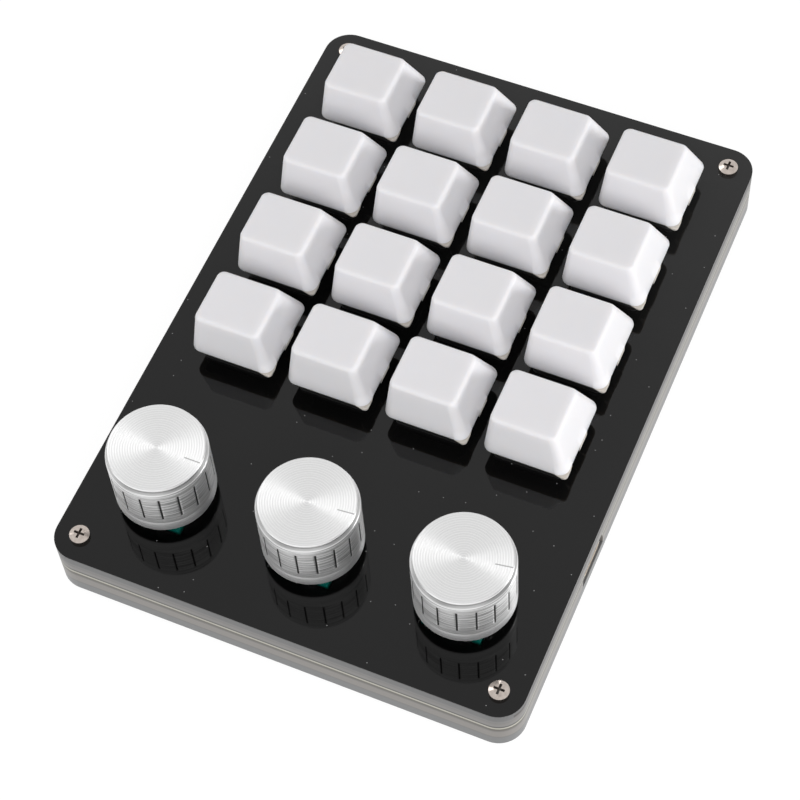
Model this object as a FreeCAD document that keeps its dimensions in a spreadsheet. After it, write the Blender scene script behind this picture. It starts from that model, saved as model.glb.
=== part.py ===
"""Macro keypad with sixteen sprung keys and three knobs that turn and push.

The case is a stack of sheets on rubber feet. X runs along the rows of keys, towards the side with the
socket, Y runs away from the knobs, and Z points up. The origin is under the middle of the case, on the
surface that the feet stand on. Sizes are millimetres.
"""
import FreeCAD, Part
import Sketcher
import os
import re
from math import pi, sqrt

ROWS = 4
COLUMNS = 4
KNOBS = 3
GROOVE_COUNT = 17
COIL_TURNS = 7

doc = FreeCAD.newDocument("keypad")
sheet = doc.addObject("Spreadsheet::Sheet", "Sizes")

SIZES = [
    ("keypitch", 21.0, "from one key to the next, both ways"),
    ("knobpitch", 31.5, "from one knob to the next"),
    ("sidemargin", 17.5, "outer key centres to the sides of the case"),
    ("keyshift", 0.45, "keys left of the middle of the case"),
    ("knobshift", 0.7, "knobs left of the middle of the case"),
    ("backmargin", 17.8, "back key centres to the back of the case"),
    ("knobgap", 38.3, "front key centres to the knob centres"),
    ("knobmargin", 20.4, "knob centres to the front of the case"),
    ("cornerround", 5.5, "corner radius of the case"),
    ("footheight", 2.0, "rubber foot, height"),
    ("footround", 4.0, "rubber foot, radius at its top"),
    ("footbevel", 0.6, "rubber foot, how far its sides draw in"),
    ("footinset", 14.0, "rubber foot centre to the edges of the case"),
    ("bottomthick", 2.8, "bottom plate, thickness"),
    ("lowerthick", 2.8, "lower spacer, thickness"),
    ("boardthick", 1.6, "printed circuit board, thickness"),
    ("upperthick", 2.0, "upper spacer, thickness"),
    ("topthick", 3.0, "top plate, thickness"),
    ("spacerwide", 7.5, "the spacers' sides, width"),
    ("spacerround", 2.5, "the spacers' inner corners, radius"),
    ("overrun", 1.0, "how far cuts run past the faces they open"),
    ("screwinset", 5.2, "case screws to the edges of the case"),
    ("screwround", 1.0, "case screw, shank radius"),
    ("screwslack", 0.1, "case screw to its holes"),
    ("headround", 2.0, "case screw, head radius"),
    ("headtall", 1.3, "case screw, head height"),
    ("headbevel", 0.5, "case screw, rounding of the head"),
    ("crosslong", 2.2, "cross recess, length"),
    ("crosswide", 0.5, "cross recess, width"),
    ("crossdeep", 0.8, "cross recess, depth"),
    ("nutflats", 4.0, "case nut, across flats"),
    ("nuttall", 1.5, "case nut, height"),
    ("shankpast", 0.2, "screw shank past its nut"),
    ("switchcut", 14.0, "switch cut-outs in the top plate"),
    ("switchslack", 0.05, "switch base to its cut-out"),
    ("flangewide", 14.6, "switch base, flange"),
    ("flangetall", 0.8, "switch base, flange height above the plate"),
    ("flangeround", 1.0, "switch base, flange corners"),
    ("switchwall", 1.2, "switch base, walls and floor"),
    ("peground", 2.0, "switch base, middle peg radius"),
    ("peglong", 3.3, "switch base, peg below the board's top"),
    ("pinround", 1.5, "key stem, guide pin radius"),
    ("pinslack", 0.1, "guide pin in its bore"),
    ("pinlong", 4.5, "key stem, guide pin length"),
    ("pegfloor", 0.3, "switch base, end of the peg"),
    ("coverfoot", 14.4, "switch cover, width at the flange"),
    ("covertop", 9.8, "switch cover, width at the top"),
    ("coverround", 1.2, "switch cover, corners"),
    ("covertall", 5.8, "switch cover, height"),
    ("coverwall", 0.9, "switch cover, wall"),
    ("bosswide", 6.8, "key stem, boss width"),
    ("bossdeep", 5.2, "key stem, boss depth"),
    ("bosstall", 0.2, "key stem, boss above the cover"),
    ("bossslack", 0.2, "key stem, boss in the cover's opening"),
    ("sliderwide", 7.8, "key stem, slider width"),
    ("sliderdeep", 7.0, "key stem, slider depth"),
    ("slidertall", 4.4, "key stem, slider height"),
    ("sliderslack", 0.2, "slider under the cover's roof"),
    ("armlong", 4.0, "key stem, cross length"),
    ("armwide", 1.2, "key stem, cross width"),
    ("armtall", 3.5, "key stem, cross height"),
    ("armslack", 0.05, "cross in the keycap's socket"),
    ("wireround", 0.15, "key spring, wire radius"),
    ("coilround", 2.2, "key spring, coil radius"),
    ("springslack", 0.05, "key spring to its seats"),
    ("leadacross", 3.81, "first contact, sideways from the stem"),
    ("leadback", 2.54, "first contact, back from the stem"),
    ("mateacross", 2.54, "second contact, sideways from the stem"),
    ("mateback", 5.08, "second contact, back from the stem"),
    ("leadround", 0.5, "contact pin radius"),
    ("leadslack", 0.1, "contact pin in its holes"),
    ("leadlong", 2.0, "contact pin below the board's top"),
    ("leafthick", 0.2, "contact leaf thickness"),
    ("leafwide", 1.6, "contact leaf width"),
    ("leaftall", 3.4, "contact leaf height"),
    ("leafback", 4.7, "contact leaf, back from the stem"),
    ("capwide", 17.7, "keycap, width at the rim"),
    ("capdeep", 18.4, "keycap, depth at the rim"),
    ("captop", 13.7, "keycap, width of the top"),
    ("captopdeep", 12.4, "keycap, depth of the top"),
    ("capshift", 1.05, "keycap, how far the top sits to the left"),
    ("caplean", 1.15, "keycap, how far the top sits to the front"),
    ("captall", 9.3, "keycap, height above its rim"),
    ("caprise", 4.7, "keycap rim above the top plate"),
    ("capround", 1.8, "keycap, corners"),
    ("capedge", 0.9, "keycap, rounding of the top edge"),
    ("capwall", 0.7, "keycap, cover wall"),
    ("caproof", 1.2, "keycap, cover roof"),
    ("capjoin", 0.05, "keycap, cover to base"),
    ("basewall", 0.6, "keycap, base wall"),
    ("baseroof", 1.0, "keycap, base roof"),
    ("tabdrop", 0.5, "keycap, base tabs below the cover's rim"),
    ("tabinset", 0.1, "keycap, base tabs inside the cover's side"),
    ("tabgap", 0.02, "keycap, base tabs to the cover's rim"),
    ("socketround", 2.6, "keycap, stem socket radius"),
    ("socketgap", 0.1, "keycap socket above the stem's boss"),
    ("knobfoot", 10.0, "knob, radius of the side"),
    ("knobneck", 9.3, "knob, radius of the neck under the top"),
    ("knobtop", 9.55, "knob, radius of the top face"),
    ("knobrise", 2.6, "knob above the top plate"),
    ("knobtall", 14.8, "knob, height"),
    ("necktall", 1.2, "knob, height of the neck under the top"),
    ("neckbevel", 0.3, "knob, bevels of the top and the foot"),
    ("groovewide", 0.4, "knob grooves, width"),
    ("groovedeep", 0.35, "knob grooves, depth"),
    ("groovefoot", 4.6, "knob grooves, up from the foot"),
    ("groovelong", 7.1, "knob grooves, length"),
    ("linewide", 0.25, "knob index line, width"),
    ("linedeep", 0.2, "knob index line, depth"),
    ("linelong", 3.6, "knob index line, length"),
    ("recessround", 6.6, "knob, hollow around the bushing"),
    ("recessdeep", 7.0, "knob, depth of the hollow"),
    ("boredeep", 5.4, "knob, depth of the shaft bore above the hollow"),
    ("boreslack", 0.02, "shaft in the knob's bore"),
    ("encoderwide", 12.0, "encoder base, width"),
    ("encoderdeep", 13.3, "encoder base, depth"),
    ("encoderfront", 0.65, "encoder base, its middle forward of the shaft"),
    ("encoderslack", 0.5, "encoder base to its cut-out in the top plate"),
    ("encoderrise", 1.0, "encoder base above the top plate"),
    ("encoderroom", 1.0, "encoder bases to the spacers' sides, at least"),
    ("encoderwell", 5.0, "encoder base, radius of the rotor's well"),
    ("encoderfloor", 1.5, "encoder base, floor under the dome"),
    ("domeround", 3.4, "push dome, radius"),
    ("dometall", 0.6, "push dome, height"),
    ("domeflat", 1.1, "push dome, radius of its flat top"),
    ("domerim", 0.2, "push dome, height of its rim"),
    ("domeslack", 0.1, "push dome in its well"),
    ("ledgetall", 1.3, "encoder base, ledge above the floor"),
    ("lugwide", 0.8, "encoder pins, width"),
    ("lugpitch", 2.5, "encoder pins, spacing"),
    ("lugback", 5.2, "encoder pins, back from the shaft"),
    ("luglong", 2.0, "encoder pins below the board's top"),
    ("bridgethick", 0.6, "bushing plate, thickness"),
    ("bushround", 3.5, "bushing, radius"),
    ("bushlong", 6.5, "bushing, length above its plate"),
    ("bushslack", 0.06, "shaft in the bushing"),
    ("shaftround", 3.0, "encoder shaft, radius"),
    ("shaftflat", 1.5, "encoder shaft, flat from the axis"),
    ("shafttop", 14.6, "encoder shaft, top above the top plate"),
    ("shaftgap", 0.05, "encoder shaft above its push dome"),
    ("rotorround", 4.8, "rotor, radius"),
    ("rotorgap", 0.2, "rotor to the ledge and the bushing plate"),
    ("pushtravel", 0.5, "how far the knobs push in"),
    ("diodelong", 2.8, "diode, length"),
    ("diodewide", 1.6, "diode, width"),
    ("diodetall", 1.1, "diode, height"),
    ("diodeacross", 7.6, "diode, sideways from its key"),
    ("chipwide", 7.0, "controller chip, width"),
    ("chiptall", 1.0, "controller chip, height"),
    ("chipback", 19.0, "controller chip, forward of the front keys"),
    ("socketback", 17.7, "socket, forward of the front keys"),
    ("shellwide", 8.94, "socket shell, width"),
    ("shelltall", 3.2, "socket shell, height"),
    ("shelllong", 7.4, "socket shell, length"),
    ("shellround", 1.2, "socket shell, corner radius"),
    ("shellwall", 0.3, "socket shell, wall"),
    ("shellinset", 0.4, "socket shell inside the case's side"),
    ("shellsunk", 0.8, "socket shell sunk into the board"),
    ("shellslack", 0.2, "socket shell to its cut-out in the board"),
    ("winglong", 0.8, "socket wings under the board, length"),
    ("wingwide", 1.4, "socket wings under the board, width"),
    ("wingtall", 0.4, "socket wings under the board, thickness"),
    ("tonguewide", 6.7, "socket tongue, width"),
    ("tonguethick", 0.7, "socket tongue, thickness"),
    ("tonguelong", 5.4, "socket tongue, length"),
    ("notchwide", 10.8, "socket notch in the lower spacer"),
]
for row, (alias, size, note) in enumerate(SIZES, 1):
    sheet.set("A%d" % row, note)
    sheet.set("B%d" % row, str(size))
    sheet.setAlias("B%d" % row, alias)
doc.recompute()
ALIASES = {alias for alias, size, note in SIZES}

# Notches between a keycap's tabs: low and high ends across and back, as shares of its width and depth
NOTCH_SHARES = [((0.24, 0.82), (0.0, 0.14)), ((0.0, 0.09), (0.0, 0.25)), ((0.86, 1.0), (0.28, 0.5))]
FULL_TURN = 360
INDEX_ANGLE = 4
NUT_SIDES = 6
UP = FreeCAD.Vector(0, 0, 1)

# A sketch numbers its own axes down from -1, and the ends of its lines and arcs up from 1
LEVEL_AXIS, UPRIGHT_AXIS = range(-1, -3, -1)
START, END = range(1, 3)

# Derived sizes and levels, each an expression of the sheet's words
KNOB_ROOM = "(%d*knobpitch + encoderwide + 2*knobshift + 2*encoderroom + 2*spacerwide)" % (KNOBS - 1)
PLATE_WIDE = "max(2*sidemargin + %d*keypitch; %s)" % (COLUMNS - 1, KNOB_ROOM)
PLATE_DEEP = "(backmargin + %d*keypitch + knobgap + knobmargin)" % (ROWS - 1)
LOWER_LEVEL = "(footheight + bottomthick)"
BOARD_LOW = "(%s + lowerthick)" % LOWER_LEVEL
BOARD_TOP = "(%s + boardthick)" % BOARD_LOW
UNDER_TOP = "(%s + upperthick)" % BOARD_TOP
PLATE_TOP = "(%s + topthick)" % UNDER_TOP
FRONT_KEYS = "(knobmargin + knobgap - %s/2)" % PLATE_DEEP
KNOB_BACK = "(knobmargin - %s/2)" % PLATE_DEEP
SWITCH_WIDE = "(switchcut - 2*switchslack)"
COVER_LEVEL = "(%s + flangetall)" % PLATE_TOP
COVER_TOP = "(%s + flangetall + covertall)" % PLATE_TOP
FLOOR_TOP = "(%s + switchwall)" % BOARD_TOP
SLIDER_TOP = "(%s - coverwall - sliderslack)" % COVER_TOP
SLIDER_LOW = "(%s - slidertall)" % SLIDER_TOP
RIM_LEVEL = "(%s + caprise)" % PLATE_TOP
ENCODER_TOP = "(%s + encoderrise)" % PLATE_TOP
DOME_LEVEL = "(%s + encoderfloor)" % BOARD_TOP
LEDGE_LEVEL = "(%s + encoderfloor + ledgetall)" % BOARD_TOP
SHAFT_LOW = "(%s + dometall + shaftgap)" % DOME_LEVEL
KNOB_LEVEL = "(%s + knobrise)" % PLATE_TOP
SOCKET_BACK = "(%s - socketback)" % FRONT_KEYS
SOCKET_LEVEL = "(%s + shellsunk - shelltall/2)" % BOARD_LOW
SOCKET_MOUTH = "(%s/2 - shellinset)" % PLATE_WIDE

nodes = []


def linked(text):
    """The expression with the sheet's name put before each of its words."""
    def named(word):
        return "Sizes." + word.group() if word.group() in ALIASES else word.group()
    return re.sub(r"[a-z]+", named, text)


def bind(thing, sizes):
    for name, text in sizes.items():
        thing.setExpression(name, linked(text))
    return thing


def place(thing, across="0", back="0", high="0"):
    return bind(thing, {"Placement.Base.x": across, "Placement.Base.y": back, "Placement.Base.z": high})


def value(text):
    return float(sheet.evalExpression(linked(text).replace("Sizes.", "")))


def box(name, wide, deep, tall, across="0", back="0", low="0"):
    """A box centred on its place across and back, standing on its low level."""
    solid = doc.addObject("Part::Box", name)
    bind(solid, {"Length": wide, "Width": deep, "Height": tall})
    return place(solid, "%s - (%s)/2" % (across, wide), "%s - (%s)/2" % (back, deep), low)


def rod(name, radius, tall, across="0", back="0", low="0"):
    solid = doc.addObject("Part::Cylinder", name)
    bind(solid, {"Radius": radius, "Height": tall})
    return place(solid, across, back, low)


def joined(name, pieces):
    union = doc.addObject("Part::MultiFuse", name)
    union.Shapes = pieces
    return union


def group(name, pieces, across="0", back="0", high="0"):
    """Separate solids in one shape, moved together."""
    bundle = doc.addObject("Part::Compound", name)
    bundle.Links = pieces
    return place(bundle, across, back, high)


def cut(name, base, tools):
    result = doc.addObject("Part::Cut", name)
    result.Base = base
    result.Tool = tools[0] if len(tools) == 1 else joined(name + "_cuts", tools)
    return result


def node(thing):
    """Marks a finished sub-part, whose label names its file."""
    nodes.append(thing)
    return thing


def origin_item(body, role):
    return next(item for item in body.Origin.OriginFeatures if item.Role == role)


def new_sketch(body, role, low="0", across="0", back="0"):
    sketch = body.newObject("Sketcher::SketchObject", body.Name + "_outline")
    sketch.AttachmentSupport = [(origin_item(body, role), "")]
    sketch.MapMode = "FlatFace"
    return bind(sketch, {"AttachmentOffset.Base.x": across, "AttachmentOffset.Base.y": back,
                         "AttachmentOffset.Base.z": low})


def add_rounded(sketch, wide, deep, radius):
    """A closed rectangle with round corners, centred on the sketch's origin."""
    first = sketch.GeometryCount
    half_wide = value(wide) / 2
    half_deep = value(deep) / 2
    turn = value(radius)
    near_wide = half_wide - turn
    near_deep = half_deep - turn
    sides = [((-near_wide, -half_deep), (near_wide, -half_deep)),
             ((half_wide, -near_deep), (half_wide, near_deep)),
             ((near_wide, half_deep), (-near_wide, half_deep)),
             ((-half_wide, near_deep), (-half_wide, -near_deep))]
    for start, end in sides:
        line = Part.LineSegment(FreeCAD.Vector(*start, 0), FreeCAD.Vector(*end, 0))
        sketch.addGeometry(line, False)
    quarter = FULL_TURN / len(sides)
    corners = [(near_wide, -near_deep), (near_wide, near_deep), (-near_wide, near_deep),
               (-near_wide, -near_deep)]
    for number, (across, back) in enumerate(corners):
        circle = Part.Circle(FreeCAD.Vector(across, back, 0), UP, turn)
        start = FreeCAD.Units.Quantity(quarter * (number - 1), "deg").getValueAs("rad").Value
        end = FreeCAD.Units.Quantity(quarter * number, "deg").getValueAs("rad").Value
        sketch.addGeometry(Part.ArcOfCircle(circle, start, end), False)
    constrain = Sketcher.Constraint
    for number in range(len(sides)):
        arc = first + len(sides) + number
        following = first + (number + 1) % len(sides)
        sketch.addConstraint(constrain("Tangent", first + number, END, arc, START))
        sketch.addConstraint(constrain("Tangent", arc, END, following, START))
        if number:
            sketch.addConstraint(constrain("Equal", arc, first + len(sides)))
    sketch.addConstraint(constrain("Vertical", first + 1))
    sketch.addConstraint(constrain("Horizontal", first + 2))
    sketch.addConstraint(constrain("Symmetric", first, START, first, END, UPRIGHT_AXIS))
    last = first + len(sides) - 1
    sketch.addConstraint(constrain("Symmetric", last, START, last, END, LEVEL_AXIS))
    sizes = [(constrain("Radius", first + len(sides), turn), radius),
             (constrain("DistanceX", last, START, first + 1, START, 2 * half_wide), wide),
             (constrain("DistanceY", first, START, first + 2, START, 2 * half_deep), deep)]
    for constraint, text in sizes:
        number = sketch.addConstraint(constraint)
        sketch.setExpression("Constraints[%d]" % number, linked(text))
    return sketch


def softened(body, base, name, radius, wanted):
    """A fillet on those edges of the base whose two ends are at the wanted levels."""
    doc.recompute()
    levels = [value(level) for level in wanted]
    near = value("springslack")
    names = []
    for number, edge in enumerate(base.Shape.Edges, 1):
        ends = sorted(corner.Z for corner in edge.Vertexes)
        if all(abs(end - level) < near for end, level in zip(ends, levels)):
            names.append("Edge%d" % number)
    fillet = body.newObject("PartDesign::Fillet", name)
    fillet.Base = (base, names)
    return bind(fillet, {"Radius": radius})


def padded(body, plane, place, thick, outlines):
    """Adds a pad from rounded outlines, the first its edge and the others its openings."""
    sketch = new_sketch(body, plane, *place)
    for outline in outlines:
        add_rounded(sketch, *outline)
    pad = body.newObject("PartDesign::Pad", body.Name + "_pad")
    pad.Profile = sketch
    bind(pad, {"Length": thick})
    return pad


def slab(name, low, thick, outlines):
    body = doc.addObject("PartDesign::Body", name)
    padded(body, "XY_Plane", (low,), thick, outlines)
    return body


def taper(body, kind, low, high, foot, top, across="0", back="0"):
    """A loft from the foot's rounded outline up to the top's, each given as width, depth and radius."""
    below = add_rounded(new_sketch(body, "XY_Plane", low), *foot)
    above = add_rounded(new_sketch(body, "XY_Plane", high, across, back), *top)
    loft = body.newObject("PartDesign::" + kind, body.Name + "_loft")
    loft.Profile = below
    loft.Sections = [above]
    return loft


def turned(name, points):
    """A body turned about Z from a closed outline of points, each a radius and a height."""
    body = doc.addObject("PartDesign::Body", name)
    sketch = new_sketch(body, "XZ_Plane")
    places = [FreeCAD.Vector(value(out), value(high), 0) for out, high in points]
    for number, start in enumerate(places):
        sketch.addGeometry(Part.LineSegment(start, places[(number + 1) % len(places)]), False)
    constrain = Sketcher.Constraint
    for number in range(len(points)):
        sketch.addConstraint(constrain("Coincident", number, END, (number + 1) % len(points), START))
    for number, (out, high) in enumerate(points):
        spot = places[number]
        for kind, text, size, line in (("DistanceX", out, spot.x, UPRIGHT_AXIS),
                                       ("DistanceY", high, spot.y, LEVEL_AXIS)):
            if text == "0":
                sketch.addConstraint(constrain("PointOnObject", number, START, line))
            else:
                added = sketch.addConstraint(constrain(kind, LEVEL_AXIS, START, number, START, size))
                sketch.setExpression("Constraints[%d]" % added, linked(text))
    turn = body.newObject("PartDesign::Revolution", name + "_turn")
    turn.Profile = sketch
    turn.ReferenceAxis = (sketch, ["V_Axis"])
    turn.Angle = FULL_TURN
    return body


def key_place(row, column):
    across = "((%d - %d/2)*keypitch - keyshift)" % (column, COLUMNS - 1)
    return across, "(%s + %d*keypitch)" % (FRONT_KEYS, ROWS - 1 - row)


def knob_place(number):
    return "((%d - %d/2)*knobpitch - knobshift)" % (number, KNOBS - 1), KNOB_BACK


KEYS = [(row, column) for row in range(ROWS) for column in range(COLUMNS)]


def corner_places(inset):
    across = "(%s/2 - %s)" % (PLATE_WIDE, inset)
    back = "(%s/2 - %s)" % (PLATE_DEEP, inset)
    return [(side + across, end + back) for side in ("-", "+") for end in ("-", "+")]


def case_sheet(name, low, thick):
    return slab(name, low, thick, [(PLATE_WIDE, PLATE_DEEP, "cornerround")])


def case_spacer(name, low, thick):
    window = ("(%s - 2*spacerwide)" % PLATE_WIDE, "(%s - 2*spacerwide)" % PLATE_DEEP, "spacerround")
    return slab(name, low, thick, [(PLATE_WIDE, PLATE_DEEP, "cornerround"), window])


def screw_holes(name, low, thick):
    spots = corner_places("screwinset")
    return [rod("%s_%d" % (name, number), "screwround + screwslack", thick + " + 2*overrun", across, back,
                low + " - overrun") for number, (across, back) in enumerate(spots)]


def make_case():
    node(cut("bottom_plate", case_sheet("bottom_sheet", "footheight", "bottomthick"),
             screw_holes("bottom_hole", "footheight", "bottomthick")))
    notch = box("lower_notch", "2*spacerwide + 2*overrun", "notchwide", "lowerthick + 2*overrun",
                "%s/2" % PLATE_WIDE, SOCKET_BACK, LOWER_LEVEL + " - overrun")
    node(cut("lower_spacer", case_spacer("lower_sheet", LOWER_LEVEL, "lowerthick"),
             screw_holes("lower_hole", LOWER_LEVEL, "lowerthick") + [notch]))
    node(cut("upper_spacer", case_spacer("upper_sheet", BOARD_TOP, "upperthick"),
             screw_holes("upper_hole", BOARD_TOP, "upperthick")))
    cuts = screw_holes("top_hole", UNDER_TOP, "topthick")
    for row, column in KEYS:
        cuts.append(box("key_cut_%d_%d" % (row, column), "switchcut", "switchcut", "topthick + 2*overrun",
                        *key_place(row, column), UNDER_TOP + " - overrun"))
    for number in range(KNOBS):
        across, back = knob_place(number)
        cuts.append(box("knob_cut_%d" % number, "encoderwide + 2*encoderslack",
                        "encoderdeep + 2*encoderslack", "topthick + 2*overrun", across,
                        back + " - encoderfront", UNDER_TOP + " - overrun"))
    node(cut("top_plate", case_sheet("top_sheet", UNDER_TOP, "topthick"), cuts))


def make_fasteners():
    end = "-(%s - footheight + nuttall + shankpast)" % PLATE_TOP
    head = turned("screw_turned", [("0", "headtall"), ("headround - 2*headbevel", "headtall"),
                                   ("headround", "headtall - headbevel"), ("headround", "0"),
                                   ("screwround", "0"), ("screwround", end), ("0", end)])
    slots = [box("cross_a", "crosslong", "crosswide", "crossdeep + overrun", low="headtall - crossdeep"),
             box("cross_b", "crosswide", "crosslong", "crossdeep + overrun", low="headtall - crossdeep")]
    screw = cut("screw", head, slots)
    node(group("case_screws", [group("screw_at_%d" % number, [screw], across, back, PLATE_TOP)
                               for number, (across, back) in enumerate(corner_places("screwinset"))]))
    block = doc.addObject("Part::Prism", "nut_block")
    block.Polygon = NUT_SIDES
    bind(block, {"Circumradius": "nutflats/(2*cos(%g))" % (FULL_TURN / 2 / NUT_SIDES), "Height": "nuttall"})
    bore = rod("nut_bore", "screwround", "nuttall + 2*overrun", low="-overrun")
    nut = cut("nut", block, [bore])
    node(group("case_nuts", [group("nut_at_%d" % number, [nut], across, back, "footheight - nuttall")
                             for number, (across, back) in enumerate(corner_places("screwinset"))]))
    foot = turned("foot", [("0", "0"), ("footround - footbevel", "0"), ("footround", "footheight"),
                           ("0", "footheight")])
    node(group("rubber_feet", [group("foot_at_%d" % number, [foot], across, back)
                               for number, (across, back) in enumerate(corner_places("footinset"))]))


def make_board():
    low = BOARD_LOW + " - overrun"
    tall = "boardthick + 2*overrun"
    way = "(shellinset + shelllong + shellslack)"
    cuts = screw_holes("board_hole", BOARD_LOW, "boardthick")
    cuts.append(box("socket_way", way + " + overrun", "shellwide + 2*shellslack", tall,
                    "%s/2 + (overrun - %s)/2" % (PLATE_WIDE, way), SOCKET_BACK, low))
    for row, column in KEYS:
        across, back = key_place(row, column)
        spot = "%d_%d" % (row, column)
        cuts.append(rod("peg_hole_" + spot, "peground + leadslack", tall, across, back, low))
        cuts.append(rod("lead_hole_" + spot, "leadround + leadslack", tall, across + " - leadacross",
                        back + " + leadback", low))
        cuts.append(rod("mate_hole_" + spot, "leadround + leadslack", tall, across + " + mateacross",
                        back + " + mateback", low))
    for number in range(KNOBS):
        across, back = knob_place(number)
        for side in (-1, 0, 1):
            cuts.append(box("lug_hole_%d_%d" % (number, side + 1), "lugwide + 2*leadslack",
                            "lugwide + 2*leadslack", tall, "%s + %d*lugpitch" % (across, side),
                            back + " - lugback", low))
    node(cut("pcb", case_sheet("board_sheet", BOARD_LOW, "boardthick"), cuts))

    diode = box("diode", "diodewide", "diodelong", "diodetall", low="-diodetall")
    spots = []
    for row, column in KEYS:
        across, back = key_place(row, column)
        spots.append(group("diode_at_%d_%d" % (row, column), [diode], across + " + diodeacross", back,
                           BOARD_LOW))
    node(group("diodes", spots))
    node(box("controller_chip", "chipwide", "chipwide", "chiptall", "0", FRONT_KEYS + " - chipback",
             BOARD_LOW + " - chiptall"))


def make_socket():
    """A flat tube with round corners, open towards the side of the case, with its wings and tongue."""
    shell = doc.addObject("PartDesign::Body", "shell_tube")
    padded(shell, "YZ_Plane", (SOCKET_MOUTH + " - shelllong", SOCKET_BACK, SOCKET_LEVEL), "shelllong",
           [("shellwide", "shelltall", "shellround")])
    hollow = new_sketch(shell, "YZ_Plane", SOCKET_MOUTH, SOCKET_BACK, SOCKET_LEVEL)
    add_rounded(hollow, "shellwide - 2*shellwall", "shelltall - 2*shellwall", "shellround - shellwall")
    pocket = shell.newObject("PartDesign::Pocket", "shell_pocket")
    pocket.Profile = hollow
    bind(pocket, {"Length": "shelllong - shellwall"})
    wing = "(winglong + shellwall/2)"
    wings = [box("socket_wing_%s" % side, "wingwide", wing, "wingtall", SOCKET_MOUTH + " - shelllong/2",
                 "%s %s (shellwide - shellwall + %s)/2" % (SOCKET_BACK, sign, wing),
                 BOARD_LOW + " - wingtall") for side, sign in (("near", "-"), ("far", "+"))]
    tongue = box("socket_tongue", "tonguelong", "tonguewide", "tonguethick",
                 "(%s - shelllong + shellwall + tonguelong/2)" % SOCKET_MOUTH, SOCKET_BACK,
                 SOCKET_LEVEL + " - tonguethick/2")
    node(group("usb_socket", [joined("winged_shell", [shell] + wings), tongue]))


def coil(radius, rise, wire, turns):
    """A round wire wound upwards about Z, whose path is two tangent arcs to each half turn."""
    halves = range(2 * turns + 1)
    step = rise / (2 * turns)
    spots = [FreeCAD.Vector(radius * (-1) ** half, 0, step * half) for half in halves]
    along = [FreeCAD.Vector(0, pi * radius * (-1) ** half, step).normalize() for half in halves]
    arcs = []
    for low, high, leave, reach in zip(spots, spots[1:], along, along[1:]):
        chord = high - low
        both = leave + reach
        spread = 2 * (1 - leave.dot(reach))
        reached = chord.dot(both)
        tangent = (sqrt(reached ** 2 + spread * chord.dot(chord)) - reached) / spread
        middle = (low + leave * tangent + high - reach * tangent) * 0.5
        for start, end, corner in ((low, middle, low + leave * tangent),
                                   (middle, high, high - reach * tangent)):
            weight = (end - start).Length / (2 * tangent)
            crown = (start + end + corner * (2 * weight)) * (1 / (2 + 2 * weight))
            arcs.append(Part.Arc(start, crown, end).toShape())
    section = Part.Wire(Part.Circle(spots[0], along[0], wire).toShape())
    return Part.Wire(arcs).makePipeShell([section], True, False)


def make_switch():
    """One switch's fixed pieces, centred on its key and at their own heights."""
    body = box("base_block", SWITCH_WIDE, SWITCH_WIDE, PLATE_TOP + " - " + BOARD_TOP, low=BOARD_TOP)
    flange = slab("base_flange", PLATE_TOP, "flangetall", [("flangewide", "flangewide", "flangeround")])
    peg = rod("base_peg", "peground", "peglong + switchwall", low=BOARD_TOP + " - peglong")
    hollow = "(%s - 2*switchwall)" % SWITCH_WIDE
    cavity = box("base_cavity", hollow, hollow, "%s + overrun - %s" % (COVER_LEVEL, FLOOR_TOP), low=FLOOR_TOP)
    bore = rod("base_bore", "pinround + pinslack", "peglong + switchwall - pegfloor + overrun",
               low=BOARD_TOP + " - peglong + pegfloor")
    leads = [rod("lead_way", "leadround + leadslack", "switchwall + 2*overrun", "-leadacross", "leadback",
                 BOARD_TOP + " - overrun"),
             rod("mate_way", "leadround + leadslack", "switchwall + 2*overrun", "mateacross", "mateback",
                 BOARD_TOP + " - overrun")]
    base = cut("base", joined("base_blank", [body, flange, peg]), [cavity, bore] + leads)

    cover = doc.addObject("PartDesign::Body", "cover_shell")
    taper(cover, "AdditiveLoft", COVER_LEVEL, COVER_TOP, ("coverfoot", "coverfoot", "coverround"),
          ("covertop", "covertop", "coverround"))
    inner = "(%s - 2*coverwall)"
    taper(cover, "SubtractiveLoft", COVER_LEVEL, COVER_TOP + " - coverwall",
          (inner % "coverfoot", inner % "coverfoot", "coverround - coverwall"),
          (inner % "covertop", inner % "covertop", "coverround - coverwall"))
    opening = box("cover_opening", "bosswide + 2*bossslack", "bossdeep + 2*bossslack",
                  "coverwall + 2*overrun", low=COVER_TOP + " - coverwall - overrun")
    cover = cut("cover", cover, [opening])

    contacts = []
    for name, across, back in (("lead", "-leadacross", "leadback"), ("mate", "mateacross", "mateback")):
        pin = rod(name + "_pin", "leadround", "switchwall + leafthick + leadlong", across, back,
                  BOARD_TOP + " - leadlong")
        leaf = box(name + "_leaf", "leafwide", "leafthick", "leaftall", across, "leafback + leafthick/2",
                   FLOOR_TOP)
        contacts.append([pin, leaf])
    foot = box("lead_foot", "2*leadround", "(leafback + leafthick - leadback)", "leafthick", "-leadacross",
               "(leafback + leafthick + leadback)/2", FLOOR_TOP)
    contacts[0].append(foot)
    contacts = [joined("%s_contact" % pieces[0].Name, pieces) for pieces in contacts]

    spring = doc.addObject("Part::Feature", "spring")
    rise = value("%s - %s - 2*wireround - 2*springslack" % (SLIDER_LOW, FLOOR_TOP))
    spring.Shape = coil(value("coilround"), rise, value("wireround"), COIL_TURNS)
    place(spring, high=FLOOR_TOP + " + wireround + springslack")

    for label, pieces in (("switch_bases", [base]), ("switch_covers", [cover]),
                          ("switch_contacts", contacts), ("key_springs", [spring])):
        node(group(label, [group("%s_%d_%d" % (label, row, column), pieces, *key_place(row, column))
                           for row, column in KEYS]))


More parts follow.
